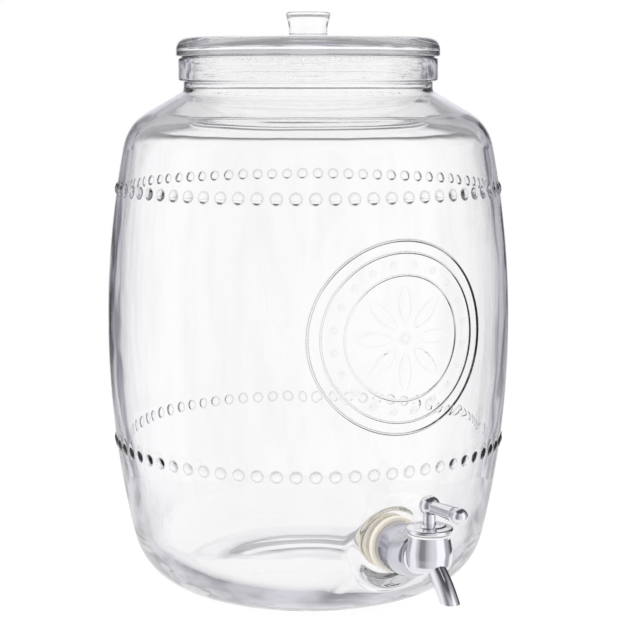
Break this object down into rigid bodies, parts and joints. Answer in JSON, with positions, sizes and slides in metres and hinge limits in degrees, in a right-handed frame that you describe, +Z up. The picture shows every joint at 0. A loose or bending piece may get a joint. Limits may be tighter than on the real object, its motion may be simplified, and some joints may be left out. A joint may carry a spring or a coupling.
{
  "type": "glass dispenser jar",
  "caption": "Barrel-shaped clear glass dispenser jar with a knobbed lift-off glass lid, bead bands, an embossed medallion and a lever-operated metal tap near the base.",
  "frame": {"origin": "on the jar's axis, at the plane of the ring that it stands on", "axes": "+Z up the jar's axis, -Y towards the tap and the medallion, +X to the right seen from the tap"},
  "size_m": [0.2332, 0.2945, 0.3315],
  "materials": {
    "clear_glass": "pressed clear soda-lime glass, fire-polished",
    "clear_seal": "clear flexible seal",
    "silicone": "cream silicone, satin",
    "nylon": "natural nylon, moulded",
    "satin_nickel": "nickel-plated, satin polish",
    "steel": "stainless, plain",
    "brass": "turned",
    "white_plastic": "white, moulded",
    "black_rubber": "moulded"
  },
  "bodies": {
    "jar": {"glass_foot": "clear_glass", "glass_skirt": "clear_glass", "tap_panel": "clear_glass", "glass_barrel": "clear_glass", "glass_neck": "clear_glass", "lower_beads": "clear_glass", "upper_beads": "clear_glass", "medallion": "clear_glass", "outer_gasket": "silicone", "inner_gasket": "silicone", "inner_washer": "steel", "shank_nut": "nylon", "shank_sleeve": "satin_nickel", "valve_body": "satin_nickel", "inlet_seal": "silicone", "spout_tube": "satin_nickel", "bonnet_washer": "white_plastic", "bonnet_cap": "satin_nickel"},
    "lid": {"glass_lid": "clear_glass", "lid_seal": "clear_seal"},
    "lever": {"valve_plug": "brass", "plug_ring": "black_rubber", "valve_stem": "satin_nickel", "stem_rings": "black_rubber", "thrust_washer": "white_plastic", "lever_hub": "satin_nickel", "hub_screw": "steel", "lever_arm": "satin_nickel", "lever_tip": "satin_nickel"}
  },
  "joints": [
    {"name": "lid_lift", "type": "slide", "parent": "jar", "child": "lid", "axis": [0, 0, 1], "range_m": [0, 0.2]},
    {"name": "tap_turn", "type": "hinge", "parent": "jar", "child": "lever", "pos_m": [0, -0.1438, 0.0753], "axis": [0, 0, 1], "range_deg": [-90, 90]}
  ]
}
